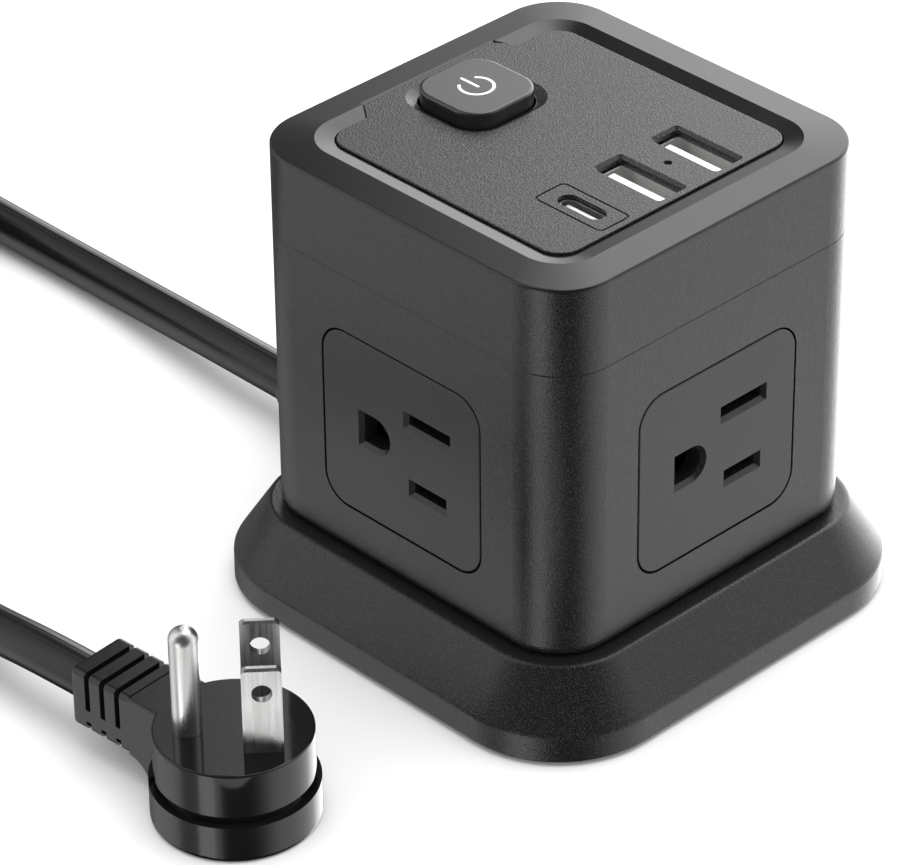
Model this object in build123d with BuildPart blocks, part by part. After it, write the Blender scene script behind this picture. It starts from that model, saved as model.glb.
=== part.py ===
from build123d import *

import os
from math import cos, pi, radians, sin, tan

# Cube power strip with four grounded outlets, two USB-A ports, one USB-C port, a push
# switch and a moulded flat plug.  Millimetres, +Z up.  The origin is the middle of the
# plane that the rubber feet stand on.  -Y is the front, +X the right, and the cord
# leaves the -X side.

# --- driving dimensions: base -------------------------------------------------------
FOOT_PROUD = 0.6        # the skirt hangs this far above the surface it stands on
SKIRT_TOP = 5.6         # top of the upright skirt, where the sloping flank starts
LEDGE_Z = 15.4          # top of the base, where the tower stands
BASE_HALF = 44.7
BASE_CORNER = 19.6
LEDGE_HALF = 38.5
LEDGE_CORNER = 13.5
BASE_WALL = 2.4
BASE_PLATE = 2.0
COVER_THICK = 1.8

# --- driving dimensions: tower ------------------------------------------------------
BODY_HALF = 36.05
BODY_CORNER = 10.5
WALL = 2.2
SEAM_Z = 69.1           # lower and upper housing meet here
RIM_Z = 85.25           # top of the tower, at the rim's inner edge
RIM_EDGE_Z = 84.8       # the rim slopes down to this at the outer wall
RIM_ROUND = 0.4
CORNER_POST = 28.8      # housing screws stand at plus and minus this in x and y
WIRE_WAY = 27.6         # square opening in the floors that the wires rise through

# --- driving dimensions: outlets (NEMA 5-15R) ---------------------------------------
OUTLET_Z = 41.5
FACE_WIDE = 36.2
FACE_HIGH = 33.6
FACE_CORNER = 5.0
FACE_GAP = 0.35
SLOT_U = 6.05           # both blade slots are centred this far to the right
BLADE_PITCH = 12.7
GROUND_OFFSET = 11.9    # from the line of the blades to the ground pin
SLOT_HIGH = 1.9
NEUTRAL_SLOT = 9.4
LIVE_SLOT = 7.3
SLOT_CHAMFER = 0.72

# --- driving dimensions: top panel --------------------------------------------------
PANEL_Z = 85.05
PANEL_HALF = 26.6
PANEL_CORNER = 4.2
PANEL_THICK = 2.15
PANEL_GAP = 0.3
MOAT_HALF = 30.0        # inner edge of the rim, where the sloping moat begins
MOAT_CORNER = 7.4
MOAT_FLOOR_Z = 84.68
TAB_HALF_IN = 17.5      # tab that bridges the moat on the -X side
TAB_HALF_OUT = 15.0
TAB_GAP = 0.08
LEDGE_OPENING = 24.8
PANEL_POST = 22.4
BUTTON_X = -18.9
BUTTON_SIDE = 16.1
BUTTON_CORNER = 4.9
BUTTON_Z = 87.04
BUTTON_GAP = 0.4
PORT_X = 18.0
PORT_PITCH = 13.0
LED_Y = 6.5

# --- driving dimensions: cord and plug ----------------------------------------------
CORD_D = 7.8
EXIT_Z = 7.9
RELIEF_IN_X = -30.0
RELIEF_OUT_X = -66.0
COIL_X = -188.0
COIL_Y = -43.2
COIL_Z = 1.0            # the coil stands on its tie
COIL_OUTER = 46.9 + CORD_D / 2
COIL_INNER = 39.1 - CORD_D / 2
COIL_HIGH = 2 * CORD_D
PLUG_X = 10.6
PLUG_Y = -83.2
PLUG_TURN = 4.0         # degrees between the plug's neck and the X axis
PLUG_Z = 16.5
PLUG_SEAM_Z = 7.7
PLUG_RADIUS = 13.0
PLUG_FOOT_RADIUS = 13.8
NECK_WIDE = 11.4
NECK_LOW_Z = 5.4
NECK_END = -18.0        # along the neck from the middle of the plug
NECK_ARCH_END = -13.3   # the neck's arched underside comes down to the surface here
PLUG_RELIEF_END = -31.0
PIN_TURN = 45.0         # degrees between the neck and the line from blades to ground
BLADE_WIDE = 6.35
BLADE_THICK = 1.5
BLADE_LONG = 16.0
GROUND_D = 4.8
GROUND_LONG = 19.4
PIN_ROOT_Z = 10.0

os.makedirs("parts", exist_ok=True)


def save(piece, name):
    """Label a finished piece and write it as its own STEP file."""
    piece.part.label = name
    export_step(piece.part, f"parts/{name}.step")


def corners(offset_x, offset_y):
    """The four points at plus and minus the two offsets."""
    return [(sx * offset_x, sy * offset_y) for sx in (-1, 1) for sy in (-1, 1)]


def square(half, radius):
    """Rounded square about the origin of the sketch."""
    RectangleRounded(2 * half, 2 * half, radius)


def side_plane(degrees_round, out=BODY_HALF, height=OUTLET_Z):
    """Plane on one side of the tower, x to the right as seen from outside, z outwards."""
    turn = radians(degrees_round)
    return Plane(
        origin=(out * cos(turn), out * sin(turn), height),
        x_dir=(-sin(turn), cos(turn), 0),
        z_dir=(cos(turn), sin(turn), 0),
    )


SIDES = {"front": -90, "right": 0, "back": 90, "left": 180}

# ====================================================================================
# Base: skirt, bottom cover, feet and their screws
# ====================================================================================
COVER_SCREWS = corners(18, 36)
BASE_SCREWS = corners(20, 27)
FEET = corners(32, 32)
CAVITY_TOP = LEDGE_Z - BASE_PLATE
FLANK_RUN = (BASE_HALF - LEDGE_HALF) / (LEDGE_Z - SKIRT_TOP)
CAVITY_HALF = BASE_HALF - BASE_WALL
CAVITY_CORNER = BASE_CORNER - BASE_WALL
CAVITY_STEP = FLANK_RUN * (CAVITY_TOP - SKIRT_TOP) + 0.4

with BuildPart() as base_skirt:
    with BuildSketch(Plane.XY.offset(FOOT_PROUD)):
        square(BASE_HALF, BASE_CORNER)
    extrude(amount=SKIRT_TOP - FOOT_PROUD)
    with BuildSketch(Plane.XY.offset(SKIRT_TOP)):
        square(BASE_HALF, BASE_CORNER)
    with BuildSketch(Plane.XY.offset(LEDGE_Z)):
        square(LEDGE_HALF, LEDGE_CORNER)
    loft(ruled=True)
    fillet(base_skirt.edges().group_by(Axis.Z)[-1], radius=1.1)
    shoulder = base_skirt.edges().filter_by(lambda e: abs(e.center().Z - SKIRT_TOP) < 0.01)
    fillet(shoulder, radius=1.2)
    chamfer(base_skirt.edges().group_by(Axis.Z)[0], length=0.5)
    # hollow for the cord and the wires, open below
    with BuildSketch(Plane.XY.offset(FOOT_PROUD)):
        square(CAVITY_HALF, CAVITY_CORNER)
    extrude(amount=SKIRT_TOP - FOOT_PROUD, mode=Mode.SUBTRACT)
    with BuildSketch(Plane.XY.offset(SKIRT_TOP)):
        square(CAVITY_HALF, CAVITY_CORNER)
    with BuildSketch(Plane.XY.offset(CAVITY_TOP)):
        square(CAVITY_HALF - CAVITY_STEP, CAVITY_CORNER - CAVITY_STEP)
    loft(ruled=True, mode=Mode.SUBTRACT)
    # posts that the cover is screwed to
    with BuildSketch(Plane.XY.offset(FOOT_PROUD + COVER_THICK)):
        with Locations(*COVER_SCREWS):
            Circle(3.0)
    extrude(until=Until.NEXT)
    with BuildSketch(Plane.XY.offset(FOOT_PROUD + COVER_THICK)):
        with Locations(*COVER_SCREWS):
            Circle(1.1)
    extrude(amount=8, mode=Mode.SUBTRACT)
    # two walls that hold the flange of the strain relief
    with BuildSketch(Plane.XY.offset(CAVITY_TOP)):
        with Locations((-36.6, 0), (-32.2, 0)):
            Rectangle(1.2, 16)
    extrude(amount=-10.6)
    with BuildSketch(Plane.YZ.offset(-BASE_HALF - 1)):
        with Locations((0, EXIT_Z)):
            Circle(5.3)
    extrude(amount=15, mode=Mode.SUBTRACT)
    # way up for the wires, and holes for the screws into the tower
    with BuildSketch(Plane.XY.offset(CAVITY_TOP)):
        Rectangle(WIRE_WAY, WIRE_WAY)
        with Locations(*BASE_SCREWS):
            Circle(1.7)
    extrude(amount=BASE_PLATE, mode=Mode.SUBTRACT)
save(base_skirt, "base_skirt")

with BuildPart() as bottom_cover:
    with BuildSketch(Plane.XY.offset(FOOT_PROUD)):
        square(CAVITY_HALF - 0.2, CAVITY_CORNER - 0.2)
    extrude(amount=COVER_THICK)
    with BuildSketch(Plane.XY.offset(FOOT_PROUD)):
        with Locations(*FEET):
            Circle(6.2)
    extrude(amount=0.8, mode=Mode.SUBTRACT)
    with Locations(Plane.XY.offset(FOOT_PROUD)):
        with Locations(*COVER_SCREWS):
            Cylinder(1.5, 2 * COVER_THICK, mode=Mode.SUBTRACT)
            Cylinder(2.9, 2.0, mode=Mode.SUBTRACT)
save(bottom_cover, "bottom_cover")

with BuildPart() as rubber_feet:
    with BuildSketch():
        with Locations(*FEET):
            Circle(6.0)
    extrude(amount=FOOT_PROUD + 0.8)
    fillet(rubber_feet.edges().group_by(Axis.Z)[0], radius=0.4)
save(rubber_feet, "rubber_feet")


def screw_set(points, head_z, head_radius, head_high, shank_radius, shank_long):
    """Pan-head screws that all point up, with a cross recess in each head."""
    with BuildPart() as screws:
        with BuildSketch(Plane.XY.offset(head_z)):
            with Locations(*points):
                Circle(head_radius)
        extrude(amount=head_high)
        fillet(screws.edges().group_by(Axis.Z)[0], radius=0.35 * head_high)
        with BuildSketch(Plane.XY.offset(head_z + head_high)):
            with Locations(*points):
                Circle(shank_radius)
        extrude(amount=shank_long)
        with BuildSketch(Plane.XY.offset(head_z)):
            with Locations(*points):
                Rectangle(1.1 * head_radius, 0.5)
                Rectangle(0.5, 1.1 * head_radius)
        extrude(amount=0.5 * head_high, mode=Mode.SUBTRACT)
    return screws


save(screw_set(COVER_SCREWS, FOOT_PROUD, 2.6, 1.0, 1.1, 8.4), "cover_screws")
save(screw_set(BASE_SCREWS, CAVITY_TOP - 2.0, 2.8, 2.0, 1.5, 9.0), "base_screws")

# ====================================================================================
# Tower: lower and upper housing
# ====================================================================================
FLOOR_TOP = LEDGE_Z + WALL
INNER_HALF = BODY_HALF - WALL
INNER_CORNER = BODY_CORNER - WALL
POSTS = corners(CORNER_POST, CORNER_POST)
LOWER_POST_Z = 60.6
POST_RADIUS = 4.2
TOP_RING_Z = 81.3

with BuildPart() as lower_housing:
    with BuildSketch(Plane.XY.offset(LEDGE_Z)):
        square(BODY_HALF, BODY_CORNER)
    extrude(amount=SEAM_Z - LEDGE_Z)
    fillet(lower_housing.edges().group_by(Axis.Z)[0], radius=1.9)
    chamfer(lower_housing.edges().group_by(Axis.Z)[-1], length=0.12)
    with BuildSketch(Plane.XY.offset(FLOOR_TOP)):
        square(INNER_HALF, INNER_CORNER)
    extrude(amount=SEAM_Z - FLOOR_TOP, mode=Mode.SUBTRACT)
    with BuildSketch(Plane.XY.offset(LEDGE_Z)):
        Rectangle(WIRE_WAY, WIRE_WAY)
        with Locations(*POSTS):
            Circle(3.3)
    extrude(amount=WALL, mode=Mode.SUBTRACT)
    # bosses for the screws that come up through the base
    with BuildSketch(Plane.XY.offset(FLOOR_TOP)):
        with Locations(*BASE_SCREWS):
            Circle(3.4)
    extrude(amount=5.2)
    with BuildSketch(Plane.XY.offset(LEDGE_Z)):
        with Locations(*BASE_SCREWS):
            Circle(1.5)
    extrude(amount=7.4, mode=Mode.SUBTRACT)
    # corner posts that the upper housing is screwed down on
    with BuildSketch(Plane.XY.offset(LOWER_POST_Z)):
        with Locations(*POSTS):
            Circle(POST_RADIUS)
    extrude(amount=SEAM_Z - LOWER_POST_Z)
    with BuildSketch(Plane.XY.offset(LOWER_POST_Z)):
        with Locations(*POSTS):
            Circle(1.7)
    extrude(amount=SEAM_Z - LOWER_POST_Z, mode=Mode.SUBTRACT)
    # one window in each side for an outlet face
    for turn in SIDES.values():
        with BuildSketch(side_plane(turn)):
            RectangleRounded(FACE_WIDE + 2 * FACE_GAP, FACE_HIGH + 2 * FACE_GAP,
                             FACE_CORNER + FACE_GAP)
        extrude(amount=-WALL - 0.1, mode=Mode.SUBTRACT)
save(lower_housing, "lower_housing")

OPENING_HALF = PANEL_HALF + PANEL_GAP
OPENING_CORNER = PANEL_CORNER + PANEL_GAP
PANEL_POSTS = corners(PANEL_POST, PANEL_POST)
PAD_Z = 79.4


def tab_outline(gap):
    """Trapezoid that bridges the moat on the -X side, grown by a gap on its free sides."""
    Polygon(
        (-PANEL_HALF + 2, TAB_HALF_IN + gap),
        (-PANEL_HALF, TAB_HALF_IN + gap),
        (-MOAT_HALF - gap, TAB_HALF_OUT + gap),
        (-MOAT_HALF - gap, -TAB_HALF_OUT - gap),
        (-PANEL_HALF, -TAB_HALF_IN - gap),
        (-PANEL_HALF + 2, -TAB_HALF_IN - gap),
        align=None,
    )


with BuildPart() as upper_housing:
    with BuildSketch(Plane.XY.offset(SEAM_Z)):
        square(BODY_HALF, BODY_CORNER)
    extrude(amount=RIM_EDGE_Z - SEAM_Z)
    with BuildSketch(Plane.XY.offset(RIM_EDGE_Z)):
        square(BODY_HALF, BODY_CORNER)
    with BuildSketch(Plane.XY.offset(RIM_Z)):
        square(MOAT_HALF, MOAT_CORNER)
    loft(ruled=True)
    fillet(upper_housing.edges().filter_by_position(Axis.Z, RIM_EDGE_Z - 0.01, RIM_EDGE_Z + 0.01),
           radius=RIM_ROUND)
    chamfer(upper_housing.edges().group_by(Axis.Z)[0], length=0.12)
    with BuildSketch(Plane.XY.offset(SEAM_Z)):
        square(INNER_HALF, INNER_CORNER)
    extrude(amount=TOP_RING_Z - SEAM_Z, mode=Mode.SUBTRACT)
    # opening with the ledge that carries the panel
    with BuildSketch(Plane.XY.offset(TOP_RING_Z)):
        square(LEDGE_OPENING, 2.0)
    extrude(amount=4, mode=Mode.SUBTRACT)
    with BuildSketch(Plane.XY.offset(PANEL_Z - PANEL_THICK)):
        square(OPENING_HALF, OPENING_CORNER)
    extrude(amount=MOAT_FLOOR_Z - PANEL_Z + PANEL_THICK, mode=Mode.SUBTRACT)
    with BuildSketch(Plane.XY.offset(MOAT_FLOOR_Z)):
        square(OPENING_HALF, OPENING_CORNER)
    with BuildSketch(Plane.XY.offset(RIM_Z)):
        square(MOAT_HALF, MOAT_CORNER)
    loft(ruled=True, mode=Mode.SUBTRACT)
    with BuildSketch(Plane.XY.offset(PANEL_Z - PANEL_THICK + 0.5)):
        tab_outline(TAB_GAP)
    extrude(amount=3, mode=Mode.SUBTRACT)
    # the rim eases down to the tab
    with BuildSketch(Plane.XZ):
        Polygon((-MOAT_HALF - 0.75, RIM_Z), (-MOAT_HALF, RIM_Z), (-MOAT_HALF, PANEL_Z - 0.07), align=None)
    extrude(amount=TAB_HALF_OUT + TAB_GAP, both=True, mode=Mode.SUBTRACT)
    # room for the guide of the button under the tab
    with BuildSketch(Plane.XY.offset(TOP_RING_Z)):
        with Locations((BUTTON_X, 0)):
            square(BUTTON_SIDE / 2 + BUTTON_GAP + 2.2, 2.0)
    extrude(amount=PANEL_Z - TOP_RING_Z, mode=Mode.SUBTRACT)
    # corner posts, and pads that the panel's own posts pass through
    with BuildSketch(Plane.XY.offset(SEAM_Z)):
        with Locations(*POSTS):
            Circle(POST_RADIUS)
    extrude(amount=TOP_RING_Z - SEAM_Z)
    with BuildSketch(Plane.XY.offset(PAD_Z)):
        with Locations(*PANEL_POSTS):
            Circle(4.6)
    extrude(amount=PANEL_Z - PANEL_THICK - PAD_Z)
    with BuildSketch(Plane.XY.offset(SEAM_Z)):
        with Locations(*POSTS):
            Circle(1.5)
    extrude(amount=10, mode=Mode.SUBTRACT)
    with BuildSketch(Plane.XY.offset(PAD_Z)):
        with Locations(*PANEL_POSTS):
            Circle(2.7)
    extrude(amount=PANEL_Z - PANEL_THICK - PAD_Z, mode=Mode.SUBTRACT)
save(upper_housing, "upper_housing")

save(screw_set(POSTS, LOWER_POST_Z - 2.2, 3.0, 2.2, 1.5, 17.0), "housing_screws")

# ====================================================================================
# Top panel, its screws, the switch and the button
# ====================================================================================
PANEL_LOW = PANEL_Z - PANEL_THICK
GUIDE_LOW = 76.0
BOARD_TOP = 70.5
BOARD_THICK = 1.6
BOARD_POSTS = [(4, 18.5), (4, -18.5), (PORT_X, -LED_Y)]
USB_A_PORTS = {"rear": PORT_PITCH, "front": 0.0}
USB_A_WINDOW = (13.9, 5.6)
USB_A_BEVEL = 0.55
USB_A_ROUND = 0.5
USB_C_WINDOW = (9.4, 3.6)
BUTTON_HOLE = BUTTON_SIDE / 2 + BUTTON_GAP

with BuildPart() as top_panel:
    with BuildSketch(Plane.XY.offset(PANEL_LOW)):
        square(PANEL_HALF, PANEL_CORNER)
    extrude(amount=PANEL_THICK)
    with BuildSketch(Plane.XY.offset(PANEL_LOW + 0.65)):
        tab_outline(0)
    extrude(amount=PANEL_THICK - 0.65)
    rim_edges = top_panel.faces().sort_by(Axis.Z)[-1].outer_wire().edges()
    fillet(rim_edges.filter_by_position(Axis.X, -MOAT_HALF + 0.1, PANEL_HALF + 0.1), radius=0.2)
    # guide and dished recess of the button
    with BuildSketch(Plane.XY.offset(GUIDE_LOW)):
        with Locations((BUTTON_X, 0)):
            square(BUTTON_HOLE + 1.8, BUTTON_CORNER + 2)
    extrude(amount=PANEL_Z - 1.0 - GUIDE_LOW)
    with BuildSketch(Plane.XY.offset(GUIDE_LOW)):
        with Locations((BUTTON_X, 0)):
            square(BUTTON_HOLE, BUTTON_CORNER + BUTTON_GAP)
    extrude(amount=PANEL_Z - GUIDE_LOW, mode=Mode.SUBTRACT)
    with BuildSketch(Plane.XY.offset(PANEL_Z - 0.9)):
        with Locations((BUTTON_X, 0)):
            square(BUTTON_HOLE + 0.1, BUTTON_CORNER + BUTTON_GAP + 0.1)
    with BuildSketch(Plane.XY.offset(PANEL_Z)):
        with Locations((BUTTON_X, 0)):
            square(BUTTON_HOLE + 1.45, BUTTON_CORNER + BUTTON_GAP + 0.5)
    loft(ruled=True, mode=Mode.SUBTRACT)
    # windows of the ports, each with a bevelled edge, and the hole of the light pipe
    with BuildSketch(Plane.XY.offset(PANEL_LOW)):
        with Locations(*[(PORT_X, y) for y in USB_A_PORTS.values()]):
            RectangleRounded(*USB_A_WINDOW, USB_A_ROUND)
    extrude(amount=PANEL_THICK, mode=Mode.SUBTRACT)
    for port_y in USB_A_PORTS.values():
        with BuildSketch(Plane.XY.offset(PANEL_Z - USB_A_BEVEL)):
            with Locations((PORT_X, port_y)):
                RectangleRounded(*USB_A_WINDOW, USB_A_ROUND)
        with BuildSketch(Plane.XY.offset(PANEL_Z)):
            with Locations((PORT_X, port_y)):
                RectangleRounded(*[side + 2 * USB_A_BEVEL for side in USB_A_WINDOW], USB_A_ROUND + 0.3)
        loft(ruled=True, mode=Mode.SUBTRACT)
    with BuildSketch(Plane.XY.offset(PANEL_LOW)):
        with Locations((PORT_X, -PORT_PITCH)):
            SlotOverall(*USB_C_WINDOW)
        with Locations((PORT_X, LED_Y)):
            Circle(0.72)
    extrude(amount=PANEL_THICK, mode=Mode.SUBTRACT)
    # fine engraved frame round the USB-C port
    with BuildSketch(Plane.XY.offset(PANEL_Z - 0.3)):
        with Locations((PORT_X, -PORT_PITCH)):
            RectangleRounded(15.0, 7.0, 1.1)
            RectangleRounded(14.3, 6.3, 0.8, mode=Mode.SUBTRACT)
    extrude(amount=0.3, mode=Mode.SUBTRACT)
    # posts for the panel's screws and for the circuit board
    with BuildSketch(Plane.XY.offset(PAD_Z - 0.2)):
        with Locations(*PANEL_POSTS):
            Circle(2.4)
            Circle(1.0, mode=Mode.SUBTRACT)
    extrude(amount=PANEL_LOW - PAD_Z + 0.2)
    with BuildSketch(Plane.XY.offset(BOARD_TOP)):
        with Locations(*BOARD_POSTS):
            Circle(2.2)
            Circle(1.0, mode=Mode.SUBTRACT)
    extrude(amount=PANEL_LOW - BOARD_TOP)
save(top_panel, "top_panel")

save(screw_set(PANEL_POSTS, PAD_Z - 2.2, 3.2, 1.9, 1.0, 3.4), "panel_screws")

SWITCH_LOW = 67.0
FLANGE_LOW = 74.4
PLUNGER_RADIUS = 2.4

with BuildPart() as switch_body:
    with BuildSketch(Plane.XY.offset(SWITCH_LOW)):
        with Locations((BUTTON_X, 0)):
            RectangleRounded(14, 13, 0.8)
    extrude(amount=FLANGE_LOW - SWITCH_LOW)
    with BuildSketch(Plane.XY.offset(FLANGE_LOW)):
        with Locations((BUTTON_X, 0)):
            RectangleRounded(20, 19.4, 2.5)
    extrude(amount=GUIDE_LOW - FLANGE_LOW)
    with BuildSketch(Plane.XY.offset(SWITCH_LOW + 1.5)):
        with Locations((BUTTON_X, 0)):
            Circle(PLUNGER_RADIUS + 0.4)
    extrude(amount=GUIDE_LOW - SWITCH_LOW - 1.5, mode=Mode.SUBTRACT)
save(switch_body, "switch_body")

TERMINAL_Y = 5.0
TERMINAL_LOW = 63.4

with BuildPart() as switch_terminals:
    with BuildSketch(Plane.XY.offset(TERMINAL_LOW)):
        with Locations((BUTTON_X, TERMINAL_Y), (BUTTON_X, -TERMINAL_Y)):
            Rectangle(4.8, 0.8)
    extrude(amount=SWITCH_LOW - TERMINAL_LOW)
save(switch_terminals, "switch_terminals")

CAP_LOW = 79.2
CAP_ROOF = BUTTON_Z - 1.8

with BuildPart() as power_button:
    with BuildSketch(Plane.XY.offset(CAP_LOW)):
        with Locations((BUTTON_X, 0)):
            square(BUTTON_SIDE / 2, BUTTON_CORNER)
    extrude(amount=BUTTON_Z - CAP_LOW)
    fillet(power_button.edges().group_by(Axis.Z)[-1], radius=0.5)
    with BuildSketch(Plane.XY.offset(CAP_LOW)):
        with Locations((BUTTON_X, 0)):
            square(BUTTON_SIDE / 2 - 1.4, BUTTON_CORNER - 1.4)
    extrude(amount=CAP_ROOF - CAP_LOW, mode=Mode.SUBTRACT)
save(power_button, "power_button")

with BuildPart() as switch_plunger:
    with BuildSketch(Plane.XY.offset(SWITCH_LOW + 4.6)):
        with Locations((BUTTON_X, 0)):
            Circle(PLUNGER_RADIUS)
    extrude(amount=CAP_ROOF - SWITCH_LOW - 4.6)
    chamfer(switch_plunger.edges().group_by(Axis.Z)[0], length=0.5)
save(switch_plunger, "switch_plunger")

SPRING_WIRE = 0.7
SPRING_RADIUS = 4.2
SPRING_TURNS = 5
SPRING_RISE = CAP_ROOF - GUIDE_LOW - SPRING_WIRE - 0.04

with BuildPart() as button_spring:
    with BuildLine(Plane.XY.offset(GUIDE_LOW + SPRING_WIRE / 2 + 0.02)):
        coil_line = Helix(SPRING_RISE / SPRING_TURNS, SPRING_RISE, SPRING_RADIUS,
                          center=(BUTTON_X, 0, 0))
    with BuildSketch(Plane(origin=coil_line @ 0, z_dir=coil_line % 0)):
        Circle(SPRING_WIRE / 2)
    sweep()
save(button_spring, "button_spring")

# ====================================================================================
# Outlet faces
# ====================================================================================
GROUND_U = SLOT_U - GROUND_OFFSET


def outlet_face(turn):
    """Flush plate with its inner flange, two blade slots and a D-shaped ground hole."""
    with BuildPart() as plate:
        with BuildSketch(side_plane(turn)):
            RectangleRounded(FACE_WIDE, FACE_HIGH, FACE_CORNER)
        extrude(amount=-WALL)
        with BuildSketch(side_plane(turn, BODY_HALF - WALL - 0.05)):
            RectangleRounded(FACE_WIDE + 3.4, FACE_HIGH + 3.4, FACE_CORNER + 1)
        extrude(amount=-1.3)
        with BuildSketch(side_plane(turn, BODY_HALF - WALL - 0.05)):
            RectangleRounded(FACE_WIDE - 1, FACE_HIGH - 1, FACE_CORNER - 1)
        extrude(amount=0.1)
        with BuildSketch(side_plane(turn)):
            with Locations((SLOT_U, BLADE_PITCH / 2)):
                Rectangle(NEUTRAL_SLOT, SLOT_HIGH)
            with Locations((SLOT_U, -BLADE_PITCH / 2)):
                Rectangle(LIVE_SLOT, SLOT_HIGH)
            with Locations((GROUND_U - 0.15, 0)):
                Circle(2.75)
            with Locations((GROUND_U - 1.8, 0)):
                Rectangle(3.3, 5.5)
        extrude(amount=-5, mode=Mode.SUBTRACT)
        outward = side_plane(turn).z_dir
        front = plate.faces().sort_by(Axis((0, 0, 0), tuple(outward)))[-1]
        chamfer(front.inner_wires().edges(), length=SLOT_CHAMFER)
        front = plate.faces().sort_by(Axis((0, 0, 0), tuple(outward)))[-1]
        fillet(front.outer_wire().edges(), radius=0.2)
    return plate


for side, turn in SIDES.items():
    save(outlet_face(turn), f"outlet_face_{side}")

# ====================================================================================
# Contacts: an insulating core with three brass buses round it
# ====================================================================================
CORE_HALF = 15.8
CORE_INNER = 13.8
CORE_TOP = 52.4
BUS_INNER = CORE_HALF + 0.05
BUS_OUTER = BUS_INNER + 0.75
BUS_HIGH = 5.0
CLIP_OUT = 31.5
TAB_X = -7.4
LIVE_Z = OUTLET_Z - BLADE_PITCH / 2
NEUTRAL_Z = OUTLET_Z + BLADE_PITCH / 2
BUSES = {"live_bus": (LIVE_Z, 8.0), "ground_bus": (OUTLET_Z, -3.0), "neutral_bus": (NEUTRAL_Z, 3.0)}

with BuildPart() as contact_carrier:
    with BuildSketch(Plane.XY.offset(FLOOR_TOP)):
        square(CORE_HALF, 3.0)
    extrude(amount=CORE_TOP - FLOOR_TOP)
    # ribs that keep the buses apart
    for rib_z in (LIVE_Z - 3.5, (LIVE_Z + OUTLET_Z) / 2, (NEUTRAL_Z + OUTLET_Z) / 2, NEUTRAL_Z + 3.5):
        with BuildSketch(Plane.XY.offset(rib_z - 0.45)):
            square(CORE_HALF + 1.6, 4.0)
        extrude(amount=0.9)
    with BuildSketch(Plane.XY.offset(FLOOR_TOP)):
        square(CORE_INNER, 1.5)
    extrude(amount=CORE_TOP - FLOOR_TOP, mode=Mode.SUBTRACT)
    # slots that the solder tabs of the buses pass through
    with BuildSketch(Plane.YZ.offset(-CORE_HALF - 0.1)):
        for bus_z, tab_y in BUSES.values():
            with Locations((tab_y, bus_z)):
                Rectangle(4.4, 1.2)
    extrude(amount=3, mode=Mode.SUBTRACT)
save(contact_carrier, "contact_carrier")


def bus(bus_z, tab_y, leaf_points, leaf_size):
    """Brass belt with a two-leaf clip on each side and one tab that points inwards."""
    with BuildPart() as belt:
        with BuildSketch(Plane.XY.offset(bus_z - BUS_HIGH / 2)):
            square(BUS_OUTER, 3.8)
            RectangleRounded(2 * BUS_INNER, 2 * BUS_INNER, 3.05, mode=Mode.SUBTRACT)
        extrude(amount=BUS_HIGH)
        for turn in SIDES.values():
            with BuildSketch(side_plane(turn, BUS_OUTER - 0.1, bus_z)):
                with Locations(*leaf_points):
                    Rectangle(*leaf_size)
            extrude(amount=CLIP_OUT - BUS_OUTER + 0.1)
        with BuildSketch(Plane.YZ.offset(-BUS_INNER - 0.1)):
            with Locations((tab_y, bus_z)):
                Rectangle(4.0, 0.8)
        extrude(amount=BUS_INNER + 0.1 + TAB_X)
    return belt


LEAF = 0.6
BLADE_LEAVES = [(SLOT_U, side * (BLADE_THICK / 2 + 0.4)) for side in (-1, 1)]
GROUND_LEAVES = [(GROUND_U + side * (GROUND_D / 2 + 0.4), 0) for side in (-1, 1)]
for bus_name, (bus_z, tab_y) in BUSES.items():
    if bus_name == "ground_bus":
        save(bus(bus_z, tab_y, GROUND_LEAVES, (LEAF, BUS_HIGH)), bus_name)
    else:
        save(bus(bus_z, tab_y, BLADE_LEAVES, (7.0, LEAF)), bus_name)

# ====================================================================================
# USB board and what stands on it
# ====================================================================================
BOARD_LOW = BOARD_TOP - BOARD_THICK
USB_A_TOP = PANEL_Z - 1.5
USB_C_TOP = PANEL_Z - 0.8

with BuildPart() as usb_board:
    with BuildSketch(Plane.XY.offset(BOARD_LOW)):
        with Locations((14, 0)):
            RectangleRounded(34, 44, 1.5)
        with Locations(*BOARD_POSTS):
            Circle(1.2, mode=Mode.SUBTRACT)
    extrude(amount=BOARD_THICK)
save(usb_board, "usb_board")

save(screw_set(BOARD_POSTS, BOARD_LOW - 1.7, 2.2, 1.7, 1.0, 7.0), "board_screws")

for place, port_y in USB_A_PORTS.items():
    with BuildPart() as usb_a_shell:
        with BuildSketch(Plane.XY.offset(BOARD_TOP)):
            with Locations((PORT_X, port_y)):
                RectangleRounded(13.1, 5.5, 0.5)
                Rectangle(12.5, 4.9, mode=Mode.SUBTRACT)
        extrude(amount=USB_A_TOP - BOARD_TOP)
    save(usb_a_shell, f"usb_a_shell_{place}")
    with BuildPart() as usb_a_tongue:
        with BuildSketch(Plane.XY.offset(BOARD_TOP)):
            with Locations((PORT_X, port_y)):
                Rectangle(12.4, 4.8)
        extrude(amount=3)
        with BuildSketch(Plane.XY.offset(BOARD_TOP + 3)):
            with Locations((PORT_X, port_y - 0.72)):
                Rectangle(11.7, 1.84)
        extrude(amount=USB_A_TOP - 0.25 - BOARD_TOP - 3)
    save(usb_a_tongue, f"usb_a_tongue_{place}")

with BuildPart() as usb_c_shell:
    with BuildSketch(Plane.XY.offset(BOARD_TOP)):
        with Locations((PORT_X, -PORT_PITCH)):
            SlotOverall(8.94, 3.2)
            SlotOverall(8.34, 2.6, mode=Mode.SUBTRACT)
    extrude(amount=USB_C_TOP - BOARD_TOP)
save(usb_c_shell, "usb_c_shell")

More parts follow.
